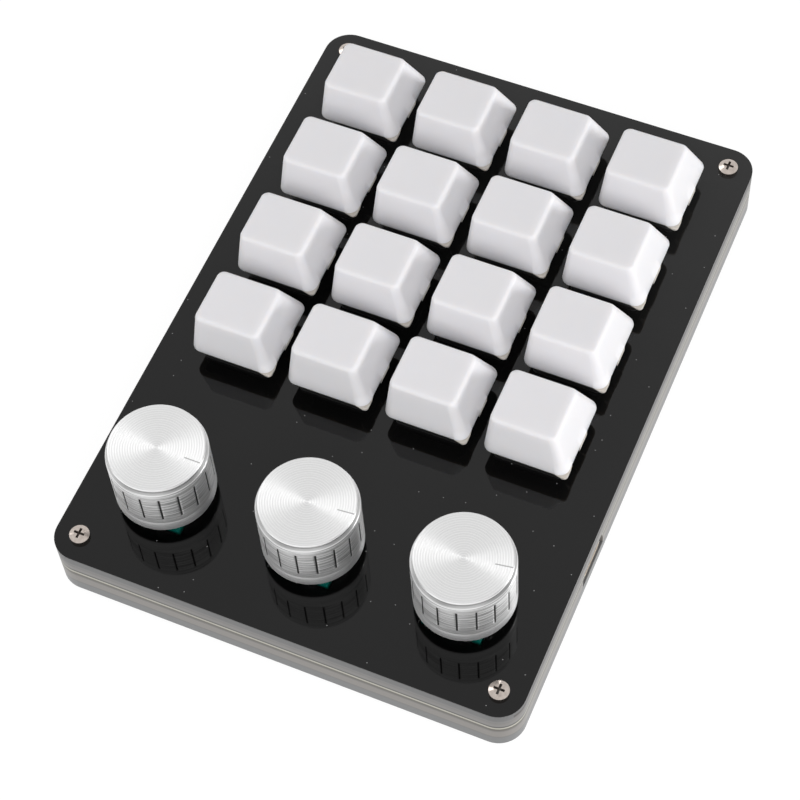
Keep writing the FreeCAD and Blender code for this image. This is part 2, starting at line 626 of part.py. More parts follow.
def make_stem():
    pin = rod("stem_pin", "pinround", "pinlong + slidertall", low=SLIDER_LOW + " - pinlong")
    slider = box("stem_slider", "sliderwide", "sliderdeep", "slidertall", low=SLIDER_LOW)
    boss = box("stem_boss", "bosswide", "bossdeep", "%s + bosstall - %s" % (COVER_TOP, SLIDER_LOW),
               low=SLIDER_LOW)
    arm = box("stem_arm", "armlong", "armwide", "bosstall + armtall", low=COVER_TOP)
    cross = box("stem_cross", "armwide", "armlong", "bosstall + armtall", low=COVER_TOP)
    return joined("stem", [pin, slider, boss, arm, cross])


def cap_outline(inset, share):
    """The cap's outline drawn in by an inset, at a height given as a share of the cap's height."""
    wide = "(capwide - (capwide - captop)*%s - 2*(%s))" % (share, inset)
    deep = "(capdeep - (capdeep - captopdeep)*%s - 2*(%s))" % (share, inset)
    return wide, deep, "(capround - (%s))" % inset


def cap_places(share):
    """Where the cap's middle is at a share of its height."""
    return "-capshift*" + share, "-caplean*" + share


def make_keycap():
    """A cover and the base inside it, whose tabs show below the cover's rim."""
    cover = doc.addObject("PartDesign::Body", "cap_cover")
    high = RIM_LEVEL + " + captall"
    block = cover.newObject("PartDesign::AdditiveWedge", "cap_block")
    block.AttachmentSupport = [(origin_item(cover, "XZ_Plane"), "")]
    block.MapMode = "FlatFace"
    bind(block, {"AttachmentOffset.Base.y": RIM_LEVEL, "Ymin": "0", "Ymax": "captall",
                 "Xmin": "-capwide/2", "Xmax": "capwide/2", "Zmin": "-capdeep/2", "Zmax": "capdeep/2",
                 "X2min": "-captop/2 - capshift", "X2max": "captop/2 - capshift",
                 "Z2min": "caplean - captopdeep/2", "Z2max": "caplean + captopdeep/2"})
    turned_corners = softened(cover, block, "cap_corners", "capround", (RIM_LEVEL, high))
    softened(cover, turned_corners, "cap_edge", "capedge", (high, high))
    roof = "((captall - caproof)/captall)"
    taper(cover, "SubtractiveLoft", RIM_LEVEL, high + " - caproof", cap_outline("capwall", "0"),
          cap_outline("capwall", roof), *cap_places(roof))

    base = doc.addObject("PartDesign::Body", "cap_base")
    fit = "capwall + capjoin"
    drop = "(-tabdrop/captall)"
    taper(base, "AdditiveLoft", RIM_LEVEL + " - tabdrop", high + " - caproof - capjoin",
          cap_outline(fit, drop), cap_outline(fit, roof), *cap_places(roof))
    padded(base, "XY_Plane", (RIM_LEVEL + " - tabdrop",), "tabdrop - tabgap",
           [cap_outline("tabinset", "0")])
    ceiling = "((captall - caproof - capjoin - baseroof)/captall)"
    inner = "capwall + capjoin + basewall"
    taper(base, "SubtractiveLoft", RIM_LEVEL + " - tabdrop", RIM_LEVEL + " + captall*" + ceiling,
          cap_outline(inner, drop), cap_outline(inner, ceiling), *cap_places(ceiling))
    notches = []
    for turn in (1, -1):
        for number, (wide, deep) in enumerate(NOTCH_SHARES):
            notches.append(box("cap_notch_%d_%d" % (number, turn + 1),
                               "capwide*%g" % (wide[1] - wide[0]), "capdeep*%g" % (deep[1] - deep[0]),
                               "tabdrop + overrun", "capwide*%g" % (turn * (sum(wide) - 1) / 2),
                               "capdeep*%g" % (turn * (sum(deep) - 1) / 2),
                               RIM_LEVEL + " - tabdrop - overrun"))
    socket_low = "(%s + bosstall + socketgap)" % COVER_TOP
    socket = rod("cap_socket", "socketround", "%s - caproof - capjoin - %s" % (high, socket_low),
                 low=socket_low)
    long_way = "armlong + 2*armslack"
    short_way = "armwide + 2*armslack"
    arms = [box(name, wide, deep, "armtall + overrun", low=socket_low + " - overrun")
            for name, wide, deep in (("socket_arm", long_way, short_way),
                                     ("socket_cross", short_way, long_way))]
    skirt = cut("cap_skirt", base, notches)
    return [cover, cut("cap_inside", joined("cap_inside_blank", [skirt, socket]), arms)]


def make_keys():
    stem = make_stem()
    keycap = make_keycap()
    for row, column in KEYS:
        spot = "r%dc%d" % (row + 1, column + 1)
        node(group("key_stem_" + spot, [stem], *key_place(row, column)))
        node(group("keycap_" + spot, keycap, *key_place(row, column)))


def make_encoder():
    base = box("encoder_block", "encoderwide", "encoderdeep",
               "%s - bridgethick - %s" % (ENCODER_TOP, BOARD_TOP), back="-encoderfront", low=BOARD_TOP)
    lugs = [box("encoder_lug_%d" % (side + 1), "lugwide", "lugwide", "luglong + encoderfloor",
                "%d*lugpitch" % side, "-lugback", BOARD_TOP + " - luglong") for side in (-1, 0, 1)]
    well = rod("rotor_well", "encoderwell", "%s + overrun - %s" % (ENCODER_TOP, LEDGE_LEVEL), low=LEDGE_LEVEL)
    pocket = rod("dome_well", "domeround + domeslack", "%s + overrun - %s" % (ENCODER_TOP, DOME_LEVEL),
                 low=DOME_LEVEL)
    base = cut("encoder_base", joined("encoder_blank", [base] + lugs), [well, pocket])
    bridge = box("bridge_plate", "encoderwide", "encoderwide", "bridgethick",
                 low=ENCODER_TOP + " - bridgethick")
    tube = rod("bridge_tube", "bushround", "bushlong + bridgethick", low=ENCODER_TOP + " - bridgethick")
    bore = rod("bridge_bore", "shaftround + bushslack", "bushlong + bridgethick + 2*overrun",
               low=ENCODER_TOP + " - bridgethick - overrun")
    bushing = cut("bushing", joined("bushing_blank", [bridge, tube]), [bore])
    dome = turned("push_dome", [("0", "dometall"), ("domeflat", "dometall"), ("domeround", "domerim"),
                                ("domeround", "0"), ("0", "0")])
    for label, piece, high in (("encoder_bases", base, "0"), ("encoder_bushings", bushing, "0"),
                               ("push_domes", dome, DOME_LEVEL)):
        node(group(label, [group("%s_%d" % (label, number), [piece], *knob_place(number), high)
                           for number in range(KNOBS)]))


def flat_cut(name, slack, low, tall):
    """Everything past the flat of the shaft, from a low level up."""
    return box(name, "2*shaftround + 2*overrun", "shaftround", tall, "0",
               "(shaftflat + %s + shaftround/2)" % slack, low)


def make_spindle():
    """The shaft, the rotor that it slides through and the knob on top."""
    shaft = rod("shaft_rod", "shaftround", "%s + shafttop - %s" % (PLATE_TOP, SHAFT_LOW),
                low=SHAFT_LOW)
    keyed_top = "(%s + pushtravel)" % ENCODER_TOP
    above = "(%s + bushlong)" % ENCODER_TOP
    shaft = cut("shaft", shaft, [flat_cut("shaft_flat_low", "0", SHAFT_LOW + " - overrun",
                                          "%s + overrun - %s" % (keyed_top, SHAFT_LOW)),
                                 flat_cut("shaft_flat_top", "0", above, "%s + shafttop + overrun - %s"
                                          % (PLATE_TOP, above))])
    rotor_low = "(%s + rotorgap)" % LEDGE_LEVEL
    rotor_tall = "(%s - bridgethick - rotorgap - %s)" % (ENCODER_TOP, rotor_low)
    disc = rod("rotor_disc", "rotorround", rotor_tall, low=rotor_low)
    hole = rod("rotor_hole", "shaftround + bushslack", rotor_tall + " + 2*overrun",
               low=rotor_low + " - overrun")
    keyed = cut("rotor_key", hole, [flat_cut("rotor_flat", "bushslack", rotor_low + " - 2*overrun",
                                             rotor_tall + " + 4*overrun")])
    rotor = cut("rotor", disc, [keyed])
    return shaft, rotor


def make_knob():
    shoulder = "(knobtall - necktall)"
    bore = "shaftround + boreslack"
    profile = [("0", "knobtall"), ("knobtop - neckbevel", "knobtall"), ("knobtop", "knobtall - neckbevel"),
               ("knobneck", shoulder), ("knobfoot - neckbevel/2", shoulder),
               ("knobfoot", shoulder + " - neckbevel"), ("knobfoot", "neckbevel"),
               ("knobfoot - neckbevel", "0"), ("recessround", "0"), ("recessround", "recessdeep"),
               (bore, "recessdeep"), (bore, "recessdeep + boredeep"), ("0", "recessdeep + boredeep")]
    body = turned("knob_turned", profile)
    groove = body.newObject("PartDesign::SubtractiveBox", "groove")
    bind(groove, {"Length": "groovedeep + overrun", "Width": "groovewide", "Height": "groovelong",
                  "AttachmentOffset.Base.x": "knobfoot - groovedeep",
                  "AttachmentOffset.Base.y": "-groovewide/2", "AttachmentOffset.Base.z": "groovefoot"})
    groove.AttachmentSupport = [(origin_item(body, "XY_Plane"), "")]
    groove.MapMode = "FlatFace"
    doc.recompute()
    ring = body.newObject("PartDesign::PolarPattern", "grooves")
    ring.Originals = [groove]
    ring.Axis = (origin_item(body, "Z_Axis"), [""])
    ring.Angle = FULL_TURN
    ring.Occurrences = GROOVE_COUNT
    body.Tip = ring
    line = box("index_line", "linelong + overrun", "linewide", "linedeep + overrun", "0", "0",
               "knobtall - linedeep")
    turn = {"angle": INDEX_ANGLE}
    bind(line, {"Placement.Base.x": "(knobtop - linelong)*cos(%(angle)d) + linewide/2*sin(%(angle)d)" % turn,
                "Placement.Base.y": "(knobtop - linelong)*sin(%(angle)d) - linewide/2*cos(%(angle)d)" % turn})
    line.Placement.Rotation = FreeCAD.Rotation(UP, INDEX_ANGLE)
    key = flat_cut("knob_key", "boreslack", "recessdeep", "boredeep")
    inside = rod("knob_key_round", bore, "boredeep", low="recessdeep")
    flat = doc.addObject("Part::Common", "knob_flat")
    flat.Base = inside
    flat.Tool = key
    return joined("knob", [cut("knob_lined", body, [line]), flat])


def make_knobs():
    shaft, rotor = make_spindle()
    knob = make_knob()
    for number in range(KNOBS):
        name = str(number + 1)
        node(group("knob_" + name, [knob], *knob_place(number), KNOB_LEVEL))
        node(group("encoder_shaft_" + name, [shaft], *knob_place(number)))
        node(group("encoder_rotor_" + name, [rotor], *knob_place(number)))


make_case()
make_fasteners()
make_board()
make_socket()
make_switch()
make_keys()
make_encoder()
make_knobs()
doc.recompute()

faults = [thing.Label for thing in doc.Objects if {"Invalid", "Error"} & set(thing.State)]
faults += [thing.Label for thing in nodes if thing.Shape.isNull() or not thing.Shape.isValid()]
if faults:
    raise ValueError("These came out wrong: " + ", ".join(faults))
os.makedirs("parts", exist_ok=True)
for thing in nodes:
    thing.Shape.exportStep("parts/%s.step" % thing.Label)
    print(thing.Label, len(thing.Shape.Solids), "solids", round(thing.Shape.Volume, 1), "mm3")
print(len(nodes), "sub-parts")
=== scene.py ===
"""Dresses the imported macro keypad: gloss black sheet on hazy spacers, milky keycaps and turned metal knobs.

Lengths are metres. X runs along the rows of keys, Y away from the knobs and Z up.
"""
from math import cos, pi, radians, sin

import bmesh
import bpy
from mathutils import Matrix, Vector


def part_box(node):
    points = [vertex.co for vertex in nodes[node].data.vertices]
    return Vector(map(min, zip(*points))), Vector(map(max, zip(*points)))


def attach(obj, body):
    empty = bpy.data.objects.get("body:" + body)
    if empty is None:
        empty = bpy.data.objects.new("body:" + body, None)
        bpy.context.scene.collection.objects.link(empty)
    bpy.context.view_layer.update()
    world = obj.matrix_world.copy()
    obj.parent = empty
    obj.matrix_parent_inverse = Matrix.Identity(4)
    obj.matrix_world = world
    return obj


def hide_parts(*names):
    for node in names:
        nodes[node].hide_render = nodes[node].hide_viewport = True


MM = 0.001
ROWS = 4
COLUMNS = 4
KNOBS = 3

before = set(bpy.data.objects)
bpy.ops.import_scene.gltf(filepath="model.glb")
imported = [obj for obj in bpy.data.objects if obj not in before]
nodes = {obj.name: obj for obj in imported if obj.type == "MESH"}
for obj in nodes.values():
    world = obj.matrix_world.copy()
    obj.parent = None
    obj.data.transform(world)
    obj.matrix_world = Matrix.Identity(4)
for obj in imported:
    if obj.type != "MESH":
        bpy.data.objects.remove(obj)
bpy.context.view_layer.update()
plate_low, plate_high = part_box("top_plate")
PLATE_TOP = plate_high.z


# Node trees

def new_material(name):
    material = bpy.data.materials.new(name)
    material.use_nodes = True
    return material, material.node_tree, material.node_tree.nodes["Principled BSDF"]


def add(tree, kind, **settings):
    item = tree.nodes.new(kind)
    for name, setting in settings.items():
        setattr(item, name, setting)
    return item


def feed(tree, socket, setting):
    """Links a socket to another, or sets its value."""
    if isinstance(setting, bpy.types.NodeSocket):
        tree.links.new(setting, socket)
    elif isinstance(setting, tuple) and len(setting) == 3 and socket.type == "RGBA":
        socket.default_value = (*setting, 1.0)
    else:
        socket.default_value = setting


def put(tree, item, **inputs):
    """Sets or links inputs by name, with underscores for spaces."""
    for name, setting in inputs.items():
        feed(tree, item.inputs[name.replace("_", " ")], setting)
    return item


def maths(tree, operation, *numbers):
    item = add(tree, "ShaderNodeMath", operation=operation)
    for socket, number in zip(item.inputs, numbers):
        feed(tree, socket, number)
    return item.outputs[0]


def mix(tree, factor, first, second, blend="MIX"):
    item = add(tree, "ShaderNodeMix", data_type="RGBA", blend_type=blend)
    for number, setting in ((0, factor), (6, first), (7, second)):
        feed(tree, item.inputs[number], setting)
    return item.outputs[2]


def multiply(tree, first, second):
    return mix(tree, 1.0, first, second, "MULTIPLY")


def ramp(tree, factor, stops):
    item = add(tree, "ShaderNodeValToRGB")
    elements = item.color_ramp.elements
    while len(elements) < len(stops):
        elements.new(0.5)
    for element, (spot, color) in zip(elements, stops):
        element.position = spot
        element.color = (*color, 1.0)
    feed(tree, item.inputs["Fac"], factor)
    return item.outputs["Color"]


def position(tree):
    """The point in the object's own frame, and its three parts."""
    spot = add(tree, "ShaderNodeTexCoord").outputs["Object"]
    parts = put(tree, add(tree, "ShaderNodeSeparateXYZ"), Vector=spot).outputs
    return spot, parts[0], parts[1], parts[2]


def noise(tree, vector, scale, detail=2.0):
    item = add(tree, "ShaderNodeTexNoise")
    return put(tree, item, Vector=vector, Scale=scale, Detail=detail).outputs["Fac"]


def lines(tree, along, scale):
    item = add(tree, "ShaderNodeTexNoise", noise_dimensions="1D")
    return put(tree, item, W=along, Scale=scale, Detail=2.0).outputs["Fac"]


def bump(tree, shader, height, distance):
    item = put(tree, add(tree, "ShaderNodeBump"), Height=height, Distance=distance, Strength=1.0)
    put(tree, shader, Normal=item.outputs["Normal"])


def grey(level, warm=0.0):
    return (level * (1 + warm), level, level * (1 - warm))


# Materials

FINE_GRAIN = 0.02 * MM
SCRATCH_DEEP = 0.004 * MM
# A screw's middle from its head's edge, the reach of its cross recess and where the painted shade in it starts
SCREW_HEAD = 2.0 * MM
RECESS_REACH = 1.18 * MM
RECESS_LIP = 0.12 * MM
# Dust on the black top: cells to the metre, a speck's size in its cell, cells left out, strength
DUST_SCALE = 210.0
DUST_SIZE = 0.024
DUST_PICK = 0.8
DUST_STRENGTH = 0.45


def moulded(name, color, rough, grain=FINE_GRAIN):
    """Plain moulded plastic or rubber with a fine grain and slightly uneven gloss."""
    material, tree, shader = new_material(name)
    spot = position(tree)[0]
    cloud = noise(tree, spot, 300.0, 3.0)
    dark, light = (tuple(shade * part for part in color) for shade in (0.85, 1.15))
    put(tree, shader, Base_Color=mix(tree, cloud, dark, light),
        Roughness=maths(tree, "MULTIPLY_ADD", cloud, 0.12, rough))
    bump(tree, shader, noise(tree, spot, 4000.0), grain)
    return material


def metal(name, color, rough, metallic=1.0):
    """Plated or drawn metal with fine scratches."""
    material, tree, shader = new_material(name)
    cloud = noise(tree, position(tree)[0], 1500.0, 3.0)
    dull = tuple(0.88 * part for part in color)
    put(tree, shader, Metallic=metallic, Base_Color=mix(tree, cloud, dull, color),
        Roughness=maths(tree, "MULTIPLY_ADD", cloud, 0.1, rough))
    bump(tree, shader, cloud, SCRATCH_DEEP)
    return material


def screw_metal():
    """Nickel with painted shade inside the cross recesses; the four screws lie alike to both sides of the middle.
    """
    material, tree, shader = new_material("nickel")
    spot, across, back, high = position(tree)
    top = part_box("case_screws")[1]
    aside = maths(tree, "SUBTRACT", maths(tree, "ABSOLUTE", across), top.x - SCREW_HEAD)
    ahead = maths(tree, "SUBTRACT", maths(tree, "ABSOLUTE", back), top.y - SCREW_HEAD)
    reach = maths(tree, "SQRT", maths(tree, "MULTIPLY_ADD", aside, aside, maths(tree, "MULTIPLY", ahead, ahead)))
    # Painted shade: the recess below its lip is painted dark and not metal
    inner = maths(tree, "LESS_THAN", reach, RECESS_REACH)
    sunk = maths(tree, "MULTIPLY", inner, maths(tree, "LESS_THAN", high, top.z - RECESS_LIP))
    cloud = noise(tree, spot, 1500.0, 3.0)
    plated = mix(tree, cloud, (0.34, 0.29, 0.26), (0.66, 0.59, 0.54))
    put(tree, shader, Metallic=maths(tree, "SUBTRACT", 1.0, sunk),
        Base_Color=mix(tree, sunk, plated, (0.07, 0.055, 0.045)), Roughness=0.2)
    bump(tree, shader, cloud, SCRATCH_DEEP)
    return material


def black_sheet():
    """Gloss black sheet with dust and a painted sheen, lighter towards the back, on top, and paler, hazed sawn
    sides with a painted darker reflection stripe on the right-hand one.
    """
    material, tree, shader = new_material("gloss black sheet")
    spot, _, back, high = position(tree)
    normal = add(tree, "ShaderNodeNewGeometry").outputs["Normal"]
    parts = put(tree, add(tree, "ShaderNodeSeparateXYZ"), Vector=normal).outputs
    face = maths(tree, "GREATER_THAN", parts[2], 0.5)
    dust = put(tree, add(tree, "ShaderNodeTexVoronoi", voronoi_dimensions="2D"), Vector=spot, Scale=DUST_SCALE)
    speck = maths(tree, "LESS_THAN", dust.outputs["Distance"], DUST_SIZE)
    chance = put(tree, add(tree, "ShaderNodeSeparateXYZ"), Vector=dust.outputs["Color"]).outputs[0]
    pick = maths(tree, "GREATER_THAN", chance, DUST_PICK)
    # Painted sheen: the top is painted lighter towards the back, with a faint random cloud over it
    painted_sheen_to_back = maths(tree, "DIVIDE", maths(tree, "SUBTRACT", back, plate_low.y), plate_high.y - plate_low.y)
    cloud = maths(tree, "MULTIPLY", noise(tree, spot, 25.0, 3.0), 0.3)
    black = ramp(tree, maths(tree, "ADD", maths(tree, "MULTIPLY", painted_sheen_to_back, 0.8), cloud),
                 [(0.15, grey(0.0)), (0.39, grey(0.003)), (0.6, grey(0.006)), (1.0, grey(0.018))])
    dots = maths(tree, "MULTIPLY", maths(tree, "MULTIPLY", speck, pick), DUST_STRENGTH)
    dusty = mix(tree, dots, black, grey(0.5))
    share = maths(tree, "DIVIDE", maths(tree, "SUBTRACT", PLATE_TOP, high), plate_high.z - plate_low.z)
    side = ramp(tree, share, [(0.0, grey(0.07)), (0.10, grey(0.15)), (0.66, grey(0.16)),
                              (0.84, grey(0.21, 0.02)), (1.0, grey(0.18, 0.02))])
    # Painted reflection: a brownish darker stripe along the right-hand side alone
    line = ramp(tree, share, [(0.30, grey(1.0)), (0.40, (0.45, 0.40, 0.38)), (0.58, (0.45, 0.40, 0.38)),
                              (0.70, (1.04, 1.0, 0.98))])
    right = maths(tree, "GREATER_THAN", parts[0], 0.8)
    side = mix(tree, right, side, multiply(tree, side, line))
    put(tree, shader, Base_Color=mix(tree, face, side, dusty),
        Roughness=maths(tree, "MULTIPLY_ADD", face, -0.37, 0.42))
    shader.inputs["Specular IOR Level"].default_value = 0.31
    return material


def hazy_sheet(name, node, stops):
    """A see-through sheet's sawn side, in bands from its top down with faint streaks along them."""
    material, tree, shader = new_material(name)
    spot, _, _, high = position(tree)
    low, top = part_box(node)
    share = maths(tree, "DIVIDE", maths(tree, "SUBTRACT", top.z, high), top.z - low.z)
    stretched = put(tree, add(tree, "ShaderNodeMapping"), Vector=spot, Scale=(12.0, 12.0, 2500.0))
    streak = noise(tree, stretched.outputs[0], 1.0, 3.0)
    bands = ramp(tree, share, stops)
    faint = maths(tree, "MULTIPLY", streak, 0.25)
    put(tree, shader, Roughness=0.35, Base_Color=mix(tree, faint, bands, grey(0.14, 0.03)))
    bump(tree, shader, streak, FINE_GRAIN)
    return material


def milky(name, color, rough, depth):
    """Milky plastic that light sinks into to a depth."""
    material, tree, shader = new_material(name)
    spot = position(tree)[0]
    cloud = noise(tree, spot, 90.0)
    dull = tuple(0.985 * part for part in color)
    put(tree, shader, Base_Color=mix(tree, cloud, dull, color), Roughness=rough)
    shader.subsurface_method = "RANDOM_WALK"
    put(tree, shader, Subsurface_Weight=1.0, Subsurface_Radius=(1.0, 0.95, 0.9), Subsurface_Scale=depth)
    shader.inputs["Specular IOR Level"].default_value = 0.25
    bump(tree, shader, noise(tree, spot, 2500.0), 0.006 * MM)
    return material


def around(tree, shader, amount):
    """Stretches highlights across the turning lines, which run round Z."""
    tangent = add(tree, "ShaderNodeTangent", direction_type="RADIAL", axis="Z")
    put(tree, shader, Tangent=tangent.outputs[0], Anisotropic=amount, Anisotropic_Rotation=0.25)


def turned_face():
    """The knob's top: rings left by the lathe and the engraved index line."""
    material, tree, shader = new_material("turned face")
    across, back = position(tree)[1:3]
    reach = maths(tree, "SQRT", maths(tree, "MULTIPLY_ADD", across, across, maths(tree, "MULTIPLY", back, back)))
    line = lines(tree, reach, 2600.0)
    ring = maths(tree, "SINE", maths(tree, "MULTIPLY", reach, 2 * pi / RING_PITCH))
    beside = maths(tree, "LESS_THAN", maths(tree, "ABSOLUTE", back), LINE_WIDE / 2)
    marked = maths(tree, "MULTIPLY", beside, maths(tree, "GREATER_THAN", across, KNOB_FACE - LINE_LONG))
    worn = maths(tree, "MULTIPLY_ADD", line, 0.4, maths(tree, "MULTIPLY_ADD", ring, 0.3, 0.3))
    plain = mix(tree, worn, grey(0.74), grey(0.88))
    put(tree, shader, Metallic=1.0, Base_Color=mix(tree, marked, plain, grey(0.4)), Roughness=0.5)
    around(tree, shader, 0.85)
    bump(tree, shader, maths(tree, "MULTIPLY_ADD", line, 0.5, ring), 0.022 * MM)
    return material


def turned_side():
    """The knob's side: level lines round it, and a painted dark reflection on the neck under the top face."""
    material, tree, shader = new_material("turned side")
    spot, _, _, high = position(tree)
    stretched = put(tree, add(tree, "ShaderNodeMapping"), Vector=spot, Scale=(90.0, 90.0, 4200.0))
    line = noise(tree, stretched.outputs[0], 1.0)
    plain = maths(tree, "LESS_THAN", high, GROOVE_FOOT - BAND_GAP)
    depth = maths(tree, "MULTIPLY_ADD", plain, -0.75, 1.0)
    sharp = ramp(tree, line, [(0.36, grey(0.42)), (0.5, grey(0.78)), (0.62, grey(0.98))])
    low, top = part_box("knob_1")
    tall = top.z - low.z
    # Painted dark reflection: the neck is painted darker from the shoulder up to just under the top face's edge
    rings = ramp(tree, maths(tree, "DIVIDE", high, tall),
                 [(1 - NECK_TALL / tall - 0.006, grey(1.0)), (1 - NECK_TALL / tall + 0.004, grey(0.38)),
                  (1 - 0.45 * MM / tall, grey(0.52)), (1 - 0.35 * MM / tall, grey(1.0))])
    sides = mix(tree, depth, grey(0.90), sharp)
    put(tree, shader, Metallic=1.0, Base_Color=multiply(tree, sides, rings), Roughness=0.42)
    around(tree, shader, 0.7)
    bump(tree, shader, maths(tree, "MULTIPLY", line, depth), 0.06 * MM)
    return material


# Meshes

def object_of(name, mesh, materials):
    thing = bpy.data.objects.new(name, mesh)
    bpy.context.scene.collection.objects.link(thing)
    if not mesh.materials:
        for material in materials:
            mesh.materials.append(material)
    return thing


def rounded(wide, deep, radii, across, back):
    """Points round a rectangle with round corners, from the front right corner on."""
    points = []
    for corner, (radius, (side, end)) in enumerate(zip(radii, ((1, -1), (1, 1), (-1, 1), (-1, -1)))):
        for step in range(CORNER_STEPS + 1):
            turn = pi / 2 * (corner - 1 + step / CORNER_STEPS)
            points.append((across + side * (wide / 2 - radius) + radius * cos(turn),
                           back + end * (deep / 2 - radius) + radius * sin(turn)))
    return points


def ring_of(build, points, height):
    return [build.verts.new((across, back, height)) for across, back in points]


def bridge(build, low, high, material=0):
    faces = []
    for number, corner in enumerate(low):
        after = (number + 1) % len(low)
        face = build.faces.new((corner, low[after], high[after], high[number]))
        face.material_index = material
        face.smooth = True
        faces.append(face)
    return faces


def finished(build, name):
    build.normal_update()
    mesh = bpy.data.meshes.new(name)
    build.to_mesh(mesh)
    build.free()
    return mesh


# Keycaps

CAP_WIDE = 17.7 * MM
CAP_DEEP = 18.4 * MM
CAP_TOP = 13.7 * MM
CAP_TOP_DEEP = 12.4 * MM
CAP_SHIFT = 1.05 * MM
CAP_LEAN = 1.15 * MM
CAP_ROUND = 2.1 * MM
CAP_TOP_ROUND = 1.5 * MM
CAP_EDGE = 0.65 * MM
CAP_WALL = 1.35 * MM
CAP_CEILING = 7.05 * MM
TAB_DROP = 0.5 * MM
TAB_OUT = 0.15 * MM
NOTCH_INSET = 0.03 * MM
GAP_DROP = 0.005 * MM
LEAST_ROUND = 0.3 * MM
CAP_LIP = 0.1 * MM
# Heights of the rings up the sides as shares of the cap's, and the dished top's insets and depths
CAP_LEVELS = (0.3, 0.6, 0.8)
CAP_DISH = ((1.6 * MM, 0.03 * MM), (3.4 * MM, 0.08 * MM))
# Rings of faces, from the hollow out, that are the clearer base
BASE_RINGS = 4
# The base's tabs have crisp corners at the front right and the back left
TAB_CORNERS = (0.6 * MM, CAP_ROUND, 0.6 * MM, CAP_ROUND)
CORNER_STEPS = 8
EDGE_STEPS = 7
SIDE_STEPS = 100
# Notches between the base's tabs: low and high ends across and back, as shares of the cap's size
NOTCHES = (((0.0, 0.86), (0.0, 0.14)), ((0.86, 1.0), (0.195, 0.42)), ((0.86, 1.0), (0.62, 1.0)))


def cap_section(share, inset, corners=(CAP_ROUND,) * 4):
    """The cap's outline at a share of its height, drawn in by an inset, with points along its sides."""
    wide = CAP_WIDE + (CAP_TOP - CAP_WIDE) * share - 2 * inset
    deep = CAP_DEEP + (CAP_TOP_DEEP - CAP_DEEP) * share - 2 * inset
    radii = [max(corner + (CAP_TOP_ROUND - corner) * share - inset, LEAST_ROUND) for corner in corners]
    outline = rounded(wide, deep, radii, -CAP_SHIFT * share, -CAP_LEAN * share)
    points = []
    for number, (point, after) in enumerate(zip(outline, outline[1:] + outline[:1])):
        pieces = SIDE_STEPS if number % (CORNER_STEPS + 1) == CORNER_STEPS else 1
        points += [tuple(a + (b - a) * piece / pieces for a, b in zip(point, after)) for piece in range(pieces)]
    return points


def notched(across, back):
    """Whether a place on the rim is in one of the notches, which lie alike after half a turn."""
    shares = (across / CAP_WIDE + 0.5, back / CAP_DEEP + 0.5)
    turned = tuple(1 - share for share in shares)
    return any(all(low <= share <= high for share, (low, high) in zip(spot, pair))
               for pair in NOTCHES for spot in (shares, turned))


def cap_mesh(rim, top):
    """A cap: hollow, with tabs of the clearer base below the rim, sloping sides and a soft top edge."""
    tall = top - rim
    build = bmesh.new()
    gaps = [notched(*point) for point in cap_section(0.0, 0.0)]
    drops = [GAP_DROP if gap else TAB_DROP for gap in gaps]
    foot = [behind if gap else beyond for gap, behind, beyond in
            zip(gaps, cap_section(0.0, NOTCH_INSET), cap_section(0.0, -TAB_OUT, TAB_CORNERS))]
    ceiling = CAP_CEILING / tall
    rings = [ring_of(build, cap_section(ceiling, CAP_WALL), rim + CAP_CEILING)]
    for points in (cap_section(0.0, CAP_WALL), foot):
        rings.append([build.verts.new((*point, rim - drop)) for point, drop in zip(points, drops)])
    rings += [ring_of(build, foot, rim), ring_of(build, cap_section(CAP_LIP / tall, 0.0), rim + CAP_LIP)]
    rings += [ring_of(build, cap_section(share, 0.0), rim + share * tall) for share in CAP_LEVELS]
    for step in range(EDGE_STEPS + 1):
        turn = pi / 2 * step / EDGE_STEPS
        sunk = CAP_EDGE * (1 - sin(turn))
        rings.append(ring_of(build, cap_section(1 - sunk / tall, CAP_EDGE * (1 - cos(turn))), top - sunk))
    for inset, sag in CAP_DISH:
        rings.append(ring_of(build, cap_section(1.0, inset), top - sag))
    for number, (low, high) in enumerate(zip(rings, rings[1:])):
        for face in bridge(build, low, high, int(number < BASE_RINGS)):
            face.smooth = number >= BASE_RINGS
    build.faces.new(reversed(rings[0])).material_index = 1
    build.faces.new(rings[-1]).smooth = True
    return finished(build, "keycap_shell")


def make_keycaps():
    low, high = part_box("keycap_r1c1")
    mesh = cap_mesh(low.z + TAB_DROP, high.z)
    materials = [milky("milky cover", (0.84, 0.83, 0.85), 0.5, 1.4 * MM),
                 milky("clear base", (0.60, 0.56, 0.51), 0.42, 0.8 * MM)]
    for row in range(ROWS):
        for column in range(COLUMNS):
            spot = "r%dc%d" % (row + 1, column + 1)
            low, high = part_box("keycap_" + spot)
            cap = object_of("cap_" + spot, mesh, materials)
            cap.location = ((low.x + high.x) / 2, (low.y + high.y) / 2, 0.0)
            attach(cap, "key_" + spot)
            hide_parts("keycap_" + spot)


# Knobs

KNOB_FOOT = 10.0 * MM
KNOB_NECK = 9.3 * MM
KNOB_FACE = 9.55 * MM
NECK_TALL = 1.2 * MM
GROOVES = 17
GROOVE_WIDE = 0.26 * MM
GROOVE_DEEP = 0.35 * MM
GROOVE_FOOT = 4.6 * MM
GROOVE_TALL = 7.1 * MM
GROOVE_WALL = 0.05 * MM
# Beyond a groove's ends: where it has run out, and a ring that keeps shading off the band
GROOVE_END = 0.08 * MM
GROOVE_GUARD = 0.14 * MM
# The turned lines stop this far under the grooves
BAND_GAP = 0.8 * MM
# Steps round the knob from one groove to the next
LAND_STEPS = 10
LINE_TURNS = (0.0, 5.0, 9.0)
LINE_WIDE = 0.25 * MM
LINE_LONG = 3.6 * MM
RING_PITCH = 0.5 * MM


